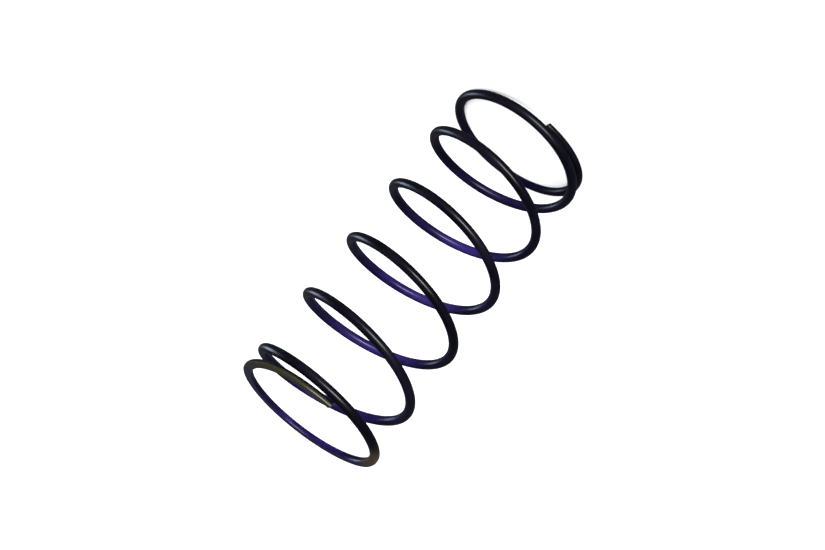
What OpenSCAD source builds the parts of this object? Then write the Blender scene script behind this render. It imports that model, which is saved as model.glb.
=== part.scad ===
// Cylindrical compression spring of round wire, wound left-handed, with closed ends ground flat.
// The wire stands on its lower end with the coil axis along +Z. The origin is the centre of the
// lower seat plane, and both wire tips are on the +X axis.
// One unbroken wire is drawn as segments that travel differently when the spring is squeezed:
// a closed turn at each end, and eighth-turn arcs for the five active turns between them. A thin
// slice of wire in the middle of each half turn travels straight, and its arcs tilt about it.

/* [Wire] */
// Diameter of the round wire
wire_d = 11; // [9:0.5:11]

/* [Coil] */
// Mean diameter of the coil, from wire centre to wire centre
mean_d = 164; // [150:2:180]
// Rise of the wire in one turn of the open coils
pitch = 81; // [79:1:90]

/* [Closed ends] */
// Share of the wire's thickness that grinding leaves at each tip
tip_left = 0.65; // [0.6:0.05:0.8]
// Distance that each tip tucks in towards the coil axis
tip_tuck = 6; // [5.5:0.25:6.5]
// Turns over which the lower tip eases out to the full coil radius
lower_tuck_turns = 0.4; // [0.3:0.05:0.6]
// Turns over which the upper tip eases out to the full coil radius
upper_tuck_turns = 0.15; // [0.15:0.05:0.4]
// Turns that lie flat at the lower end before the wire starts to rise
lower_flat = 0.25; // [0.2:0.01:0.27]
// Turns over which the wire at the lower end reaches the full pitch
lower_ramp = 1.55; // [1.5:0.05:1.6]
// Turns that lie flat at the upper end, counted back from its tip
upper_flat = 0.4; // [0.36:0.01:0.4]
// Turns over which the wire at the upper end leaves the full pitch
upper_ramp = 1.15; // [1.05:0.05:1.15]

/* [Segments] */
// Clearance between the facing cuts of neighbouring segments
cut_gap = 0.8; // [0.6:0.05:0.9]
// Clearance on each side of a straight-travelling slice, which its neighbours tilt against
slice_gap = 1.2; // [1.1:0.05:1.4]
// Length of wire in each straight-travelling slice
slice_len = 5; // [4:0.5:8]

/* [Hidden] */
active_turns = 5;
arcs_per_turn = 8;
end_turns = 1;
total_turns = active_turns + 2 * end_turns;
wire_r = wire_d / 2;
mean_r = mean_d / 2;
// Height of the wire's centre above the seat plane at a ground tip
tip_z = wire_d * tip_left - wire_r;
// Height where the rise from the lower end meets the rise from the upper end
middle_turn = total_turns / 2;
free_height =
    rise(middle_turn, lower_flat, lower_ramp)
    + rise(total_turns - middle_turn, upper_flat, upper_ramp);
// Half a cut, as a share of a turn
half_cut = cut_gap / 2 / (PI * mean_d);
rings_per_turn = 48;
wire_sides = 32;
// Where each turn's slices are, as a share of the turn past its start
SLICES = [["front", 0.25], ["back", 0.75]];
ARC_NAMES = [for (coil = [1:active_turns], arc = [1:arcs_per_turn]) arc_name(coil, arc)];
SLICE_NAMES = [for (coil = [1:active_turns], side = SLICES) slice_name(coil, side)];

wire_colour = "#24222e";
seat_colour = "#2c2a26";

function arc_name(coil, arc) = str("coil_", coil, "_arc_", arc);
function slice_name(coil, side) = str("coil_", coil, "_", side[0], "_slice");
function clamped(u) = min(max(u, 0), 1);
// Smooth step from 0 to 1, and the area under it from 0 to u
function eased(u) = pow(clamped(u), 2) * (3 - 2 * clamped(u));
function eased_area(u) = pow(clamped(u), 3) - pow(clamped(u), 4) / 2 + max(u - 1, 0);
// Height of the wire's centre over a seat plane, at a number of turns from that end's tip
function rise(turns, flat, ramp) = tip_z + pitch * ramp * eased_area((turns - flat) / ramp);

// Height and radius of the wire's centre, counted in turns from the lower tip
function wire_z(t) =
    t < middle_turn
        ? rise(t, lower_flat, lower_ramp)
        : free_height - rise(total_turns - t, upper_flat, upper_ramp);
// How far the wire has eased out of the nearer tip's tuck, from 0 at the tip to 1
function eased_out(t) =
    eased(t < middle_turn ? t / lower_tuck_turns : (total_turns - t) / upper_tuck_turns);
function coil_r(t) = mean_r - tip_tuck * (1 - eased_out(t));
// The wire's centre line. Its angle runs clockwise seen from above, so the coil is left-handed
function wire_point(t) = [coil_r(t) * cos(360 * t), -coil_r(t) * sin(360 * t), wire_z(t)];

function unit(v) = v / norm(v);
function wire_along(t, step = 0.001) = unit(wire_point(t + step) - wire_point(t - step));
function wire_out(t) = [cos(360 * t), -sin(360 * t), 0];
function wire_up(t) = unit(cross(wire_along(t), cross([0, 0, 1], wire_along(t))));
function wire_side(t) = unit(cross(wire_up(t), wire_along(t)));
// One ring of points on the wire's surface
function wire_ring(t) =
    [for (i = [0:wire_sides - 1])
        let (a = 360 * i / wire_sides)
        wire_point(t) + wire_r * (cos(a) * wire_side(t) + sin(a) * wire_up(t))];

// Round wire swept along the centre line between two numbers of turns
module swept_wire(from, to) {
    steps = round((to - from) * rings_per_turn);
    points = [for (i = [0:steps]) each wire_ring(from + (to - from) * i / steps)];
    walls = [
        for (i = [0:steps - 1], j = [0:wire_sides - 1])
            let (k = (j + 1) % wire_sides, low = i * wire_sides, high = low + wire_sides)
            each [[low + j, high + k, low + k], [low + j, high + j, high + k]]
    ];
    first_cap = [for (j = [0:wire_sides - 1]) j];
    last_cap = [for (j = [wire_sides - 1:-1:0]) steps * wire_sides + j];
    polyhedron(points, concat([first_cap], walls, [last_cap]), convexity = 6);
}

// The space between the two seat planes, where grinding leaves metal
module between_seats() {
    reach = mean_d + 4 * wire_d;
    translate([-reach / 2, -reach / 2, 0]) cube([reach, reach, free_height]);
}

module lower_end_coil() {
    color(seat_colour) intersection() {
        swept_wire(0, end_turns - half_cut);
        between_seats();
    }
}

module upper_end_coil() {
    color(seat_colour) intersection() {
        swept_wire(end_turns + active_turns + half_cut, total_turns);
        between_seats();
    }
}

// Round wire bent to the circle through three points of the centre line: its start, middle and end.
// Each end is trimmed back by a length of wire
module bent_wire(from, to, start_trim = 0, end_trim = 0) {
    middle = wire_point((from + to) / 2);
    a = wire_point(from) - middle;
    b = wire_point(to) - middle;
    ab = cross(a, b);
    centre = middle + cross(a * a * b - b * b * a, ab) / (2 * ab * ab);
    bend_r = norm(middle - centre);
    x = unit(wire_point(from) - centre);
    z = unit(cross(x, wire_point(to) - centre));
    y = cross(z, x);
    degrees_per_mm = 180 / PI / bend_r;
    sweep = acos(x * unit(wire_point(to) - centre)) - (start_trim + end_trim) * degrees_per_mm;
    multmatrix([
        [x.x, y.x, z.x, centre.x],
        [x.y, y.y, z.y, centre.y],
        [x.z, y.z, z.z, centre.z],
        [0, 0, 0, 1]
    ])
    rotate([0, 0, start_trim * degrees_per_mm])
    rotate_extrude(angle = sweep, $fn = 180)
    translate([bend_r, 0])
    circle(r = wire_r, $fn = 48);
}

// Wire to trim off an arc where it meets its neighbour: more where a slice lies between them
function trim_at(share) =
    len([for (side = SLICES) if (abs(side[1] - share) < 0.001) side]) > 0
        ? slice_len / 2 + slice_gap
        : cut_gap / 2;

module active_arc(coil, arc) {
    turn_start = end_turns + coil - 1;
    from = (arc - 1) / arcs_per_turn;
    to = arc / arcs_per_turn;
    color(wire_colour) bent_wire(turn_start + from, turn_start + to, trim_at(from), trim_at(to));
}

module wire_slice(coil, side) {
    middle = end_turns + coil - 1 + side[1];
    half = slice_len / 2 / (PI * mean_d);
    color(wire_colour) bent_wire(middle - half, middle + half);
}

lower_end_coil();
for (coil = [1:active_turns], arc = [1:arcs_per_turn])
    active_arc(coil, arc);
for (coil = [1:active_turns], side = SLICES)
    wire_slice(coil, side);
upper_end_coil();
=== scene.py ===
import math

import bmesh
import bpy
from mathutils import Matrix, Vector


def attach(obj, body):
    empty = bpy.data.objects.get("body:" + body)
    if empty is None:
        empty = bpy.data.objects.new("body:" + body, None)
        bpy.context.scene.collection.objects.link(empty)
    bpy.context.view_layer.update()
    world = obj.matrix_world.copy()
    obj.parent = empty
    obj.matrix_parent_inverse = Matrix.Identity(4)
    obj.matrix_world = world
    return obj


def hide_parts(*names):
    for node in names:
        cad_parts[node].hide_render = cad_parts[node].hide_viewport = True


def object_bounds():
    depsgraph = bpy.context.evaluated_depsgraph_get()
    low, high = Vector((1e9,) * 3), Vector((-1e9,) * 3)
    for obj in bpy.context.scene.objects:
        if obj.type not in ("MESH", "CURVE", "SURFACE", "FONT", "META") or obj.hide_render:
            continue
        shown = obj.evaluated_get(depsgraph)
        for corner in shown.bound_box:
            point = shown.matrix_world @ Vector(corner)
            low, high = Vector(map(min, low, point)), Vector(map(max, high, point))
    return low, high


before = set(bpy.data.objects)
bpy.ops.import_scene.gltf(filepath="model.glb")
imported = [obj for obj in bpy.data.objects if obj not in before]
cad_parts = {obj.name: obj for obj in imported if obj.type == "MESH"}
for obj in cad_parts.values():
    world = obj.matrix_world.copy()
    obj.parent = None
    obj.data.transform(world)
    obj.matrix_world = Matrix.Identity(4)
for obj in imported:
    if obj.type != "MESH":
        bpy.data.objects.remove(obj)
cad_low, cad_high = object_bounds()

# ---------------------------------------------------------------- dimensions
# The same driving dimensions as the part's source, in metres.
MM = 0.001
WIRE_D = 11 * MM
MEAN_D = 164 * MM
PITCH = 81 * MM
TIP_LEFT = 0.65
TIP_TUCK = 6 * MM
LOWER_TUCK_TURNS, UPPER_TUCK_TURNS = 0.4, 0.15
LOWER_FLAT, LOWER_RAMP = 0.25, 1.55
UPPER_FLAT, UPPER_RAMP = 0.4, 1.15
ACTIVE_TURNS = 5
ARCS_PER_TURN = 8
END_TURNS = 1
UPPER_START = ACTIVE_TURNS + END_TURNS
TOTAL_TURNS = UPPER_START + END_TURNS
MIDDLE_TURN = TOTAL_TURNS / 2
WIRE_R = WIRE_D / 2
MEAN_R = MEAN_D / 2
TIP_Z = WIRE_D * TIP_LEFT - WIRE_R
FREE_HEIGHT = cad_high.z - cad_low.z

# Mesh density: points round a section, strips across a ground seat, and rings along the wire
SIDES = 56
SEAT_STRIPS = 10
RING_STEP = 1.5 * MM
CREASE_ANGLE = math.radians(32)

# The ground seats' edges and the blunt tips
SEAT_MIN_ANGLE = math.radians(14)
SEAT_CHAMFER = 0.3 * MM
TIP_CHAMFER = 1.2 * MM
TIP_STEPS = 5
# A section counts as ground when its centre is nearer the seat plane than this
GROUND_HEIGHT = 0.995 * WIRE_R

# The hidden dome that carries each piece on into its neighbour, so that no gap opens as they tilt
TONGUE = 1.6 * MM
TONGUE_SINK = 0.1 * MM
TONGUE_STEPS = 3

# Where the straight-travelling slices lie, as shares of a turn
SLICES = {"front": 0.25, "back": 0.75}

# ---------------------------------------------------------------- the wire's centre line


def clamped(u):
    return min(max(u, 0.0), 1.0)


def eased(u):
    u = clamped(u)
    return u * u * (3 - 2 * u)


def eased_area(u):
    v = clamped(u)
    return v**3 - v**4 / 2 + max(u - 1, 0.0)


def rise(turns, flat, ramp):
    """Height of the wire's centre over a seat plane, at a number of turns from that end's tip."""
    return TIP_Z + PITCH * ramp * eased_area((turns - flat) / ramp)


def wire_z(t):
    if t < MIDDLE_TURN:
        return rise(t, LOWER_FLAT, LOWER_RAMP)
    return FREE_HEIGHT - rise(TOTAL_TURNS - t, UPPER_FLAT, UPPER_RAMP)


def eased_out(t):
    """How far the wire has eased out of the nearer tip's tuck, from 0 at the tip to 1."""
    if t < MIDDLE_TURN:
        return eased(t / LOWER_TUCK_TURNS)
    return eased((TOTAL_TURNS - t) / UPPER_TUCK_TURNS)


def coil_r(t):
    return MEAN_R - TIP_TUCK * (1 - eased_out(t))


def outward(t):
    a = 2 * math.pi * t
    return Vector((math.cos(a), -math.sin(a), 0.0))


def centre(t):
    return coil_r(t) * outward(t) + Vector((0, 0, wire_z(t)))


def wire_axes(t, step=0.0005):
    """Unit vectors along the wire, away from the coil axis and upwards, at right angles."""
    along = (centre(t + step) - centre(t - step)).normalized()
    side = outward(t)
    side = (side - along * side.dot(along)).normalized()
    up = side.cross(along).normalized()
    if up.z < 0:
        up = -up
    return along, side, up


def turns(length):
    """Turns of the coil that a length of wire takes up."""
    return length / (math.pi * MEAN_D)


# ---------------------------------------------------------------- swept wire meshes


def round_section(shrink=0.0):
    """Points round a plain section, as (outward, upward) offsets."""
    r = WIRE_R - shrink
    points = []
    for i in range(SIDES):
        a = 2 * math.pi * i / SIDES
        points.append((r * math.cos(a), r * math.sin(a)))
    return points


def seat_section(height, shrink=0.0):
    """Points round a section whose seat side is ground off at a height from its centre."""
    r = WIRE_R - shrink
    height = max(height - shrink, 0.0)
    corner = max(math.acos(min(height / r, 1.0)), SEAT_MIN_ANGLE)
    start = corner + SEAT_CHAMFER / r
    half_width = r * math.sin(corner) - SEAT_CHAMFER
    arc_points = SIDES - SEAT_STRIPS - 1
    points = []
    for i in range(arc_points):
        a = start + (2 * math.pi - 2 * start) * i / (arc_points - 1)
        points.append((r * math.sin(a), -r * math.cos(a)))
    for i in range(SEAT_STRIPS + 1):
        x = -half_width + 2 * half_width * i / SEAT_STRIPS
        points.append((x, -min(math.sqrt(r * r - x * x), height)))
    return points


def crease_sharp_edges(mesh):
    """Keeps the shading of a wire's side apart from its cut ends and from the ground seat."""
    shape = bmesh.new()
    shape.from_mesh(mesh)
    for edge in shape.edges:
        edge.smooth = edge.calc_face_angle(0.0) < CREASE_ANGLE
    shape.to_mesh(mesh)
    shape.free()


def add_mesh(name, rings, wire_space, seat_quads, seat_index=1):
    """A closed tube from rings of points. Seat quads take the second material."""
    sides = len(rings[0])
    verts = [p for ring in rings for p in ring]
    faces, slots = [], []
    for i in range(len(rings) - 1):
        for j in range(sides):
            k = (j + 1) % sides
            low, high = i * sides, (i + 1) * sides
            faces.append((low + j, low + k, high + k, high + j))
            slots.append(seat_index if seat_quads(i, j) else 0)
    for ring, flip in ((0, True), (len(rings) - 1, False)):
        middle = sum(rings[ring], Vector()) / sides
        hub = len(verts)
        verts.append(middle)
        wire_space.append((0.0, 0.0, wire_space[ring * sides][2]))
        for j in range(sides):
            k = (j + 1) % sides
            a, b = ring * sides + j, ring * sides + k
            faces.append((b, a, hub) if flip else (a, b, hub))
            slots.append(0)
    mesh = bpy.data.meshes.new(name)
    mesh.from_pydata([tuple(v) for v in verts], [], faces)
    mesh.update()
    for poly, index in zip(mesh.polygons, slots):
        poly.material_index = index
        poly.use_smooth = True
    attribute = mesh.attributes.new("wire_space", "FLOAT_VECTOR", "POINT")
    for item, value in zip(attribute.data, wire_space):
        item.vector = value
    crease_sharp_edges(mesh)
    obj = bpy.data.objects.new(name, mesh)
    bpy.context.scene.collection.objects.link(obj)
    return obj


def face_outward(obj):
    """Turns the faces of a tube outward if its sweep left them inside out."""
    mesh = obj.data
    volume = 0.0
    for poly in mesh.polygons:
        a = mesh.vertices[poly.vertices[0]].co
        for m in range(1, len(poly.vertices) - 1):
            b = mesh.vertices[poly.vertices[m]].co
            c = mesh.vertices[poly.vertices[m + 1]].co
            volume += a.dot(b.cross(c))
    if volume < 0:
        mesh.flip_normals()
    return obj


def ring_at(t, section, seat_side):
    """A section's points in place, and the same points in the straightened wire's own space."""
    along, side, up = wire_axes(t)
    up = up * seat_side
    middle = centre(t)
    distance = t * math.pi * MEAN_D
    ring, space = [], []
    for x, y in section:
        ring.append(middle + side * x + up * y)
        space.append((x, y * seat_side, distance))
    return ring, space


def stations(start, end):
    """Evenly spaced places for rings, counted in turns."""
    count = max(2, round((end - start) / turns(RING_STEP)))
    return [start + (end - start) * i / count for i in range(count + 1)]


def tongue(t, direction):
    """Places and shrinkages of the short domed tongue that carries a wire on inside its neighbour."""
    dome_r = WIRE_R - TONGUE_SINK
    places = []
    for i in range(TONGUE_STEPS + 1):
        reach = TONGUE * i / TONGUE_STEPS
        places.append((t + direction * turns(reach), WIRE_R - math.sqrt(dome_r**2 - reach**2)))
    return places


def wire_arc(name, start, end):
    """Round wire between two places, with a tongue into the neighbour at each end."""
    places = [(t, sink) for t, sink in reversed(tongue(start, -1))]
    places += [(t, 0.0) for t in stations(start, end)]
    places += tongue(end, 1)
    rings, spaces = [], []
    for t, sink in places:
        ring, space = ring_at(t, round_section(sink), 1)
        rings.append(ring)
        spaces.extend(space)
    return face_outward(add_mesh(name, rings, spaces, lambda i, j: False))


def end_coil(name, tip, inner, lower):
    """A closed end turn from its ground tip to where the active wire starts."""
    direction = 1 if inner > tip else -1
    seat_side = 1 if lower else -1
    chamfer_turns = direction * turns(TIP_CHAMFER)
    places = []
    for i in range(TIP_STEPS + 1):
        a = math.pi / 2 * i / TIP_STEPS
        places.append((tip + chamfer_turns * (1 - math.cos(a)), TIP_CHAMFER * (1 - math.sin(a))))
    span = stations(min(tip, inner), max(tip, inner))
    places += [(t, 0.0) for t in (span if direction > 0 else span[::-1])[1:]]
    places += tongue(inner, direction)
    rings, spaces, heights = [], [], []
    for t, sink in places:
        height = wire_z(t) if lower else FREE_HEIGHT - wire_z(t)
        ring, space = ring_at(t, seat_section(height, sink), seat_side)
        for p in ring:
            p.z = max(p.z, 0.0) if lower else min(p.z, FREE_HEIGHT)
        rings.append(ring)
        spaces.extend(space)
        heights.append(height)
    first_seat = len(rings[0]) - SEAT_STRIPS - 1

    def on_seat(i, j):
        return max(heights[i], heights[i + 1]) < GROUND_HEIGHT and first_seat - 1 <= j

    return face_outward(add_mesh(name, rings, spaces, on_seat))


# ---------------------------------------------------------------- materials


class Nodes:
    """A short way to build a node material."""

    def __init__(self, name):
        self.material = bpy.data.materials.new(name)
        self.material.use_nodes = True
        self.tree = self.material.node_tree
        self.shader = self.tree.nodes["Principled BSDF"]

    def add(self, kind, **settings):
        node = self.tree.nodes.new(kind)
        for key, value in settings.items():
            setattr(node, key, value)
        return node

    def link(self, source, target):
        self.tree.links.new(source, target)

    def noise(self, vector, scale, detail=4.0, roughness=0.55):
        node = self.add("ShaderNodeTexNoise")
        node.inputs["Scale"].default_value = scale
        node.inputs["Detail"].default_value = detail
        node.inputs["Roughness"].default_value = roughness
        self.link(vector, node.inputs["Vector"])
        return node.outputs["Fac"]

    def stretched(self, vector, scale):
        node = self.add("ShaderNodeMapping")
        node.inputs["Scale"].default_value = scale
        self.link(vector, node.inputs["Vector"])
        return node.outputs["Vector"]

    def span(self, value, source, target=(0.0, 1.0)):
        """Smooth step of a value: the source range becomes the target range."""
        node = self.add("ShaderNodeMapRange", interpolation_type="SMOOTHSTEP")
        keys = ("From Min", "From Max", "To Min", "To Max")
        for key, number in zip(keys, (*source, *target)):
            node.inputs[key].default_value = number
        self.link(value, node.inputs["Value"])
        return node.outputs["Result"]

    def math(self, operation, a, b):
        node = self.add("ShaderNodeMath", operation=operation)
        for socket, value in zip(node.inputs, (a, b)):
            if isinstance(value, (int, float)):
                socket.default_value = value
            else:
                self.link(value, socket)
        return node.outputs["Value"]

    def mix(self, factor, a, b):
        node = self.add("ShaderNodeMix", data_type="RGBA")
        if isinstance(factor, (int, float)):
            node.inputs["Factor"].default_value = factor
        else:
            self.link(factor, node.inputs["Factor"])
        for socket, value in ((node.inputs["A"], a), (node.inputs["B"], b)):
            if isinstance(value, tuple):
                socket.default_value = (*value, 1.0)
            else:
                self.link(value, socket)
        return node.outputs["Result"]

    def bump(self, height, strength, distance, normal=None):
        node = self.add("ShaderNodeBump")
        node.inputs["Strength"].default_value = strength
        node.inputs["Distance"].default_value = distance
        self.link(height, node.inputs["Height"])
        if normal is not None:
            self.link(normal, node.inputs["Normal"])
        return node.outputs["Normal"]

    def wire_space(self):
        """Position in the straightened wire: across it in X and Y, along it in Z."""
        return self.add("ShaderNodeAttribute", attribute_name="wire_space").outputs["Vector"]

    def turns_along(self):
        """Turns from the lower tip."""
        along = self.add("ShaderNodeSeparateXYZ")
        self.link(self.wire_space(), along.inputs["Vector"])
        return self.math("DIVIDE", along.outputs["Z"], math.pi * MEAN_D)

    def from_tip(self):
        """Turns from the nearer tip."""
        along = self.turns_along()
        return self.math("MINIMUM", along, self.math("SUBTRACT", TOTAL_TURNS, along))

    def seatward(self):
        """How far a surface faces the seat plane of the nearer end."""
        normal = self.add("ShaderNodeSeparateXYZ")
        self.link(self.add("ShaderNodeTexCoord").outputs["Normal"], normal.inputs["Vector"])
        end = self.math("SIGN", self.math("SUBTRACT", self.turns_along(), MIDDLE_TURN), 0.0)
        return self.math("MULTIPLY", normal.outputs["Z"], end)

    def inward(self):
        """How far a surface faces the coil axis: 1 on the inside of the coil, -1 on the outside."""
        place = self.add("ShaderNodeTexCoord")
        flat = self.add("ShaderNodeVectorMath", operation="MULTIPLY")
        flat.inputs[1].default_value = (1, 1, 0)
        self.link(place.outputs["Object"], flat.inputs[0])
        radial = self.add("ShaderNodeVectorMath", operation="NORMALIZE")
        self.link(flat.outputs["Vector"], radial.inputs[0])
        facing = self.add("ShaderNodeVectorMath", operation="DOT_PRODUCT")
        self.link(radial.outputs["Vector"], facing.inputs[0])
        self.link(place.outputs["Normal"], facing.inputs[1])
        return self.math("MULTIPLY", facing.outputs["Value"], -1.0)


OUTER_BLACK = (0.0008, 0.0007, 0.0017)
OUTER_GREY = (0.0022, 0.0019, 0.0048)
# Inside of the coil: indigo to violet, partly the coating's own cast and partly a painted violet sheen
INNER_INDIGO_AND_SHEEN = (0.0042, 0.0022, 0.0300)
INNER_VIOLET_AND_SHEEN = (0.0140, 0.0080, 0.0780)
TIP_OLIVE = (0.0170, 0.0152, 0.0070)
RUN_OUT_BROWN = (0.0330, 0.0215, 0.0090)
SEAT_OLIVE = (0.026, 0.023, 0.009)
SEAT_BROWN = (0.038, 0.026, 0.012)
SEAT_SLATE = (0.015, 0.015, 0.030)
SEAT_INDIGO = (0.008, 0.006, 0.036)
SEAT_DARK = (0.006, 0.0055, 0.005)
FLOOR_SHADES = ((0.94, 0.94, 0.94), (0.96, 0.96, 0.96))

# Tints of the ground face, against the share of a turn back from the tip
SEAT_TINTS = [(0.0, SEAT_OLIVE), (0.22, SEAT_OLIVE), (0.30, SEAT_SLATE), (0.40, SEAT_INDIGO),
              (0.68, SEAT_INDIGO), (0.76, SEAT_BROWN), (1.0, SEAT_BROWN)]
# Turns back from the upper tip over which the round wire's olive fades, and its brown comes and goes
OLIVE_FADES = (0.15, 0.24)
BROWN_COMES, BROWN_GOES = (0.71, 0.77), (0.80, 0.87)
# Where the indigo inside the coil comes in, with its painted violet sheen: up from the lower end, and
# across the coil, shaped to paint where the front light falls on the far strands
INDIGO_AND_SHEEN_HEIGHTS = (0.0, 0.16)
PAINTED_SHEEN_FADES_ACROSS = (-0.2 * MEAN_R, 0.7 * MEAN_R)
PAINTED_SHEEN_COMES_ACROSS = (-MEAN_R, -0.5 * MEAN_R)
DULL_SPECULAR = 0.12


def indigo_cast_and_painted_sheen(n, patches):
    """How indigo the coating looks: strongest on the inside of the coil, and uneven. Partly the coating's
    own indigo cast, partly a painted violet sheen placed where the front light falls.
    """
    place = n.add("ShaderNodeSeparateXYZ")
    n.link(n.add("ShaderNodeTexCoord").outputs["Object"], place.inputs["Vector"])
    indigo_and_sheen = n.math("MULTIPLY", n.span(n.inward(), (-0.25, 0.75)), n.span(patches, (0.3, 0.6), (0.45, 1.0)))
    # Painted sheen: the spans across the coil in Y put the violet where the front light falls; the span
    # in Z makes it weaker towards the lower end
    for axis, source, target in (
        ("Z", INDIGO_AND_SHEEN_HEIGHTS, (0.15, 1.0)),
        ("Y", PAINTED_SHEEN_FADES_ACROSS, (1.0, 0.15)),
        ("Y", PAINTED_SHEEN_COMES_ACROSS, (0.25, 1.0)),
    ):
        indigo_and_sheen = n.math("MULTIPLY", indigo_and_sheen, n.span(place.outputs[axis], source, target))
    return indigo_and_sheen


def upper_end_tints(n, body, cloudy):
    """The olive of the round wire beside the upper tip, and the brown where its ground face ends."""
    seatward = n.seatward()
    upper_tip = n.math("SUBTRACT", TOTAL_TURNS, n.turns_along())
    olive = n.math("MULTIPLY", n.span(upper_tip, OLIVE_FADES, (1.0, 0.0)), n.span(seatward, (-0.6, 0.0)))
    body = n.mix(n.math("MULTIPLY", olive, n.span(cloudy, (0.3, 0.6), (0.55, 1.0))), body, TIP_OLIVE)
    brown = n.math("MULTIPLY", n.span(upper_tip, BROWN_COMES), n.span(upper_tip, BROWN_GOES, (1.0, 0.0)))
    return n.mix(n.math("MULTIPLY", brown, n.span(seatward, (-0.5, 0.1))), body, RUN_OUT_BROWN)


def coating():
    """Semi-gloss near-black coating over drawn wire, with an indigo cast inside the coil that is partly a
    painted violet sheen.
    """
    n = Nodes("coated_wire")
    space = n.wire_space()
    cloudy = n.noise(n.stretched(space, (1.0, 1.0, 0.35)), 60.0, 3.0)
    patches = n.noise(space, 11.0, 2.0)
    drawn = n.noise(n.stretched(space, (1.0, 1.0, 0.04)), 1500.0, 3.0, 0.6)
    grain = n.noise(space, 2600.0, 2.0, 0.5)
    outer = n.mix(n.span(cloudy, (0.35, 0.7)), OUTER_BLACK, OUTER_GREY)
    # Indigo to violet for the inside of the coil, partly painted sheen, mixed in by the indigo and
    # painted sheen mask
    inner = n.mix(n.span(cloudy, (0.3, 0.7)), INNER_INDIGO_AND_SHEEN, INNER_VIOLET_AND_SHEEN)
    body = n.mix(indigo_cast_and_painted_sheen(n, patches), outer, inner)
    n.link(upper_end_tints(n, body, cloudy), n.shader.inputs["Base Color"])
    gloss = n.span(cloudy, (0.2, 0.8), (0.26, 0.35))
    n.link(n.math("ADD", gloss, n.span(drawn, (0.2, 0.8), (-0.05, 0.05))), n.shader.inputs["Roughness"])
    fine = n.bump(grain, 0.35, 0.00004)
    n.link(n.bump(drawn, 0.30, 0.00005, fine), n.shader.inputs["Normal"])
    n.shader.inputs["Specular IOR Level"].default_value = DULL_SPECULAR
    return n.material


def ground_seat():
    """Dull face left by grinding, with fine marks across it and tints along it."""
    n = Nodes("ground_seat")
    place = n.add("ShaderNodeTexCoord").outputs["Object"]
    marks = n.noise(n.stretched(place, (1.0, 0.06, 1.0)), 1400.0, 4.0, 0.65)
    blotches = n.noise(place, 45.0, 4.0, 0.6)
    from_tip = n.math("ADD", n.from_tip(), n.span(blotches, (0.2, 0.8), (-0.05, 0.05)))
    tints = n.add("ShaderNodeValToRGB")
    ramp = tints.color_ramp
    while len(ramp.elements) < len(SEAT_TINTS):
        ramp.elements.new(0.5)
    for element, (share, colour) in zip(ramp.elements, SEAT_TINTS):
        element.position = share
        element.color = (*colour, 1.0)
    n.link(from_tip, tints.inputs["Fac"])
    shade = n.span(marks, (0.35, 0.75), (0.55, 0.0))
    n.link(n.mix(shade, tints.outputs["Color"], SEAT_DARK), n.shader.inputs["Base Color"])
    n.link(n.span(marks, (0.2, 0.8), (0.40, 0.62)), n.shader.inputs["Roughness"])
    n.link(n.bump(marks, 0.5, 0.00006), n.shader.inputs["Normal"])
    n.shader.inputs["Specular IOR Level"].default_value = DULL_SPECULAR
    return n.material


def floor_material():
    n = Nodes("studio_floor")
    place = n.add("ShaderNodeTexCoord").outputs["Object"]
    n.link(n.mix(n.noise(place, 3.0), *FLOOR_SHADES), n.shader.inputs["Base Color"])
    n.shader.inputs["Roughness"].default_value = 0.9
    n.shader.inputs["Specular IOR Level"].default_value = 0.0
    return n.material


COATING = coating()
GROUND = ground_seat()

# ---------------------------------------------------------------- the pieces


def dress(obj, body, nodes):
    """Gives a piece its two materials, the body it rides on and the CAD nodes it stands for."""
    obj.data.materials.append(COATING)
    obj.data.materials.append(GROUND)
    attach(obj, body)
    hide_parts(*nodes)


def build_active_arcs():
    """Every arc reaches the middle of the slice beside it. The arc before a slice stands for it."""
    for coil in range(1, ACTIVE_TURNS + 1):
        for arc in range(1, ARCS_PER_TURN + 1):
            node = f"coil_{coil}_arc_{arc}"
            start = END_TURNS + coil - 1 + (arc - 1) / ARCS_PER_TURN
            end = start + 1 / ARCS_PER_TURN
            nodes = [node]
            for side, share in SLICES.items():
                if share == arc / ARCS_PER_TURN:
                    nodes.append(f"coil_{coil}_{side}_slice")
            dress(wire_arc("wire_" + node, start, end), node, nodes)


def build_end_coils():
    lower = end_coil("wire_lower_end_coil", 0.0, END_TURNS, True)
    dress(lower, "lower_end_coil", ["lower_end_coil"])
    upper = end_coil("wire_upper_end_coil", TOTAL_TURNS, UPPER_START, False)
    dress(upper, "upper_end_coil", ["upper_end_coil"])


build_end_coils()
build_active_arcs()

# ---------------------------------------------------------------- studio
FLOOR_HALF = 14.0
FLOOR_GAP = 0.2 * MM
SENSOR_WIDTH = 36
CAMERA_AIM = Vector((-0.0027, 0.0041, 0.2096))
CAMERA_AZIMUTH = math.radians(8.97)
CAMERA_ELEVATION = math.radians(20.60)
CAMERA_ROLL = math.radians(-142.24)
CAMERA_DISTANCE = 1.845
CAMERA_LENS = 72.95


def view_axes(azimuth, elevation, roll=0.0):
    """Right, up and backward unit vectors of a camera that looks from a direction."""
    level_share = math.cos(elevation)
    back = Vector((level_share * math.cos(azimuth), level_share * math.sin(azimuth), math.sin(elevation)))
    level = Vector((0, 0, 1)).cross(back).normalized()
    upright = back.cross(level)
    right = math.cos(roll) * level + math.sin(roll) * upright
    up = -math.sin(roll) * level + math.cos(roll) * upright
    return right, up, back


def placed(right, up, back, position):
    """Matrix of a camera or light at a position, from its axes."""
    turn = Matrix((right, up, back)).transposed().to_4x4()
    return Matrix.Translation(position) @ turn


def add_camera():
    data = bpy.data.cameras.new("camera")
    data.lens = CAMERA_LENS
    data.sensor_width = SENSOR_WIDTH
    camera = bpy.data.objects.new("camera", data)
    bpy.context.scene.collection.objects.link(camera)
    right, up, back = view_axes(CAMERA_AZIMUTH, CAMERA_ELEVATION, CAMERA_ROLL)
    camera.matrix_world = placed(right, up, back, CAMERA_AIM + back * CAMERA_DISTANCE)
    bpy.context.scene.camera = camera


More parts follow.
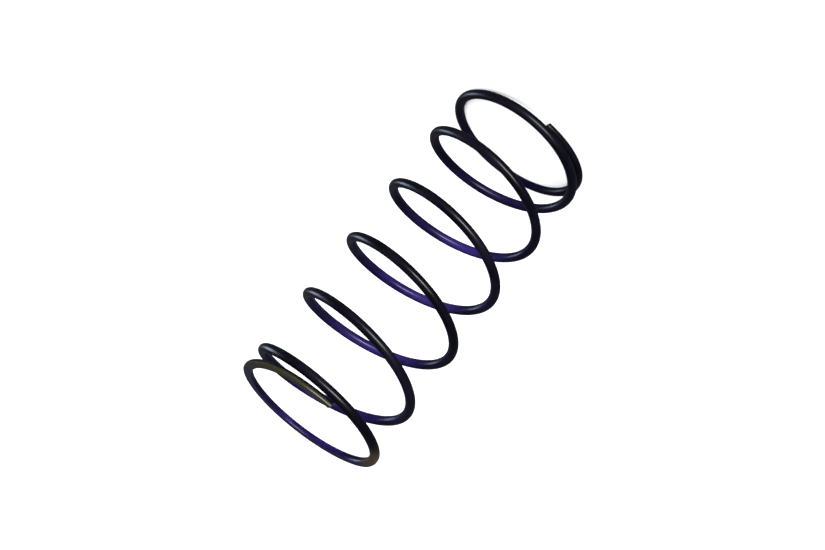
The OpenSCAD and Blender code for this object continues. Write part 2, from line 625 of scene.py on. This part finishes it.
def add_floor():
    mesh = bpy.data.meshes.new("floor")
    h = FLOOR_HALF
    z = cad_low.z - FLOOR_GAP
    mesh.from_pydata([(-h, -h, z), (h, -h, z), (h, h, z), (-h, h, z)], [], [(0, 1, 2, 3)])
    floor = bpy.data.objects.new("floor", mesh)
    bpy.context.scene.collection.objects.link(floor)
    mesh.materials.append(floor_material())
    floor.visible_glossy = False


def add_softbox(name, azimuth, elevation, distance, size, radiance, colour=(1.0, 1.0, 1.0)):
    """A rectangular light that faces the spring, with a brightness that does not change with size."""
    data = bpy.data.lights.new(name, "AREA")
    data.shape = "RECTANGLE"
    data.size, data.size_y = size
    data.energy = radiance * math.pi * size[0] * size[1]
    data.color = colour
    light = bpy.data.objects.new(name, data)
    bpy.context.scene.collection.objects.link(light)
    right, up, back = view_axes(math.radians(azimuth), math.radians(elevation))
    light.matrix_world = placed(right, up, back, CAMERA_AIM + back * distance)


def add_wash(name, azimuth, elevation, width, strength):
    """An even light for the floor, as wide as a ceiling, that leaves no reflection of itself."""
    data = bpy.data.lights.new(name, "SUN")
    data.angle = math.radians(width)
    data.energy = strength
    light = bpy.data.objects.new(name, data)
    bpy.context.scene.collection.objects.link(light)
    right, up, back = view_axes(math.radians(azimuth), math.radians(elevation))
    light.matrix_world = placed(right, up, back, CAMERA_AIM + back)
    light.visible_glossy = False


WORLD_COLOUR = (0.80, 0.84, 1.0, 1.0)
WORLD_STRENGTH = 0.14


def add_world():
    """Dim bluish surroundings, so that the wire stays dark where no light is mirrored in it."""
    world = bpy.data.worlds.new("studio")
    world.use_nodes = True
    background = world.node_tree.nodes["Background"]
    background.inputs["Color"].default_value = WORLD_COLOUR
    background.inputs["Strength"].default_value = WORLD_STRENGTH
    bpy.context.scene.world = world


add_camera()
add_floor()
add_world()
add_wash("ceiling", 0, 80, 100, 4.2)
add_softbox("key_strip", 4, 5, 2.0, (1.1, 0.35), 85)
add_softbox("left_strip", 132, 14, 2.4, (0.9, 0.9), 15, (0.62, 0.74, 1.0))
bpy.context.scene.view_settings.view_transform = "Standard"
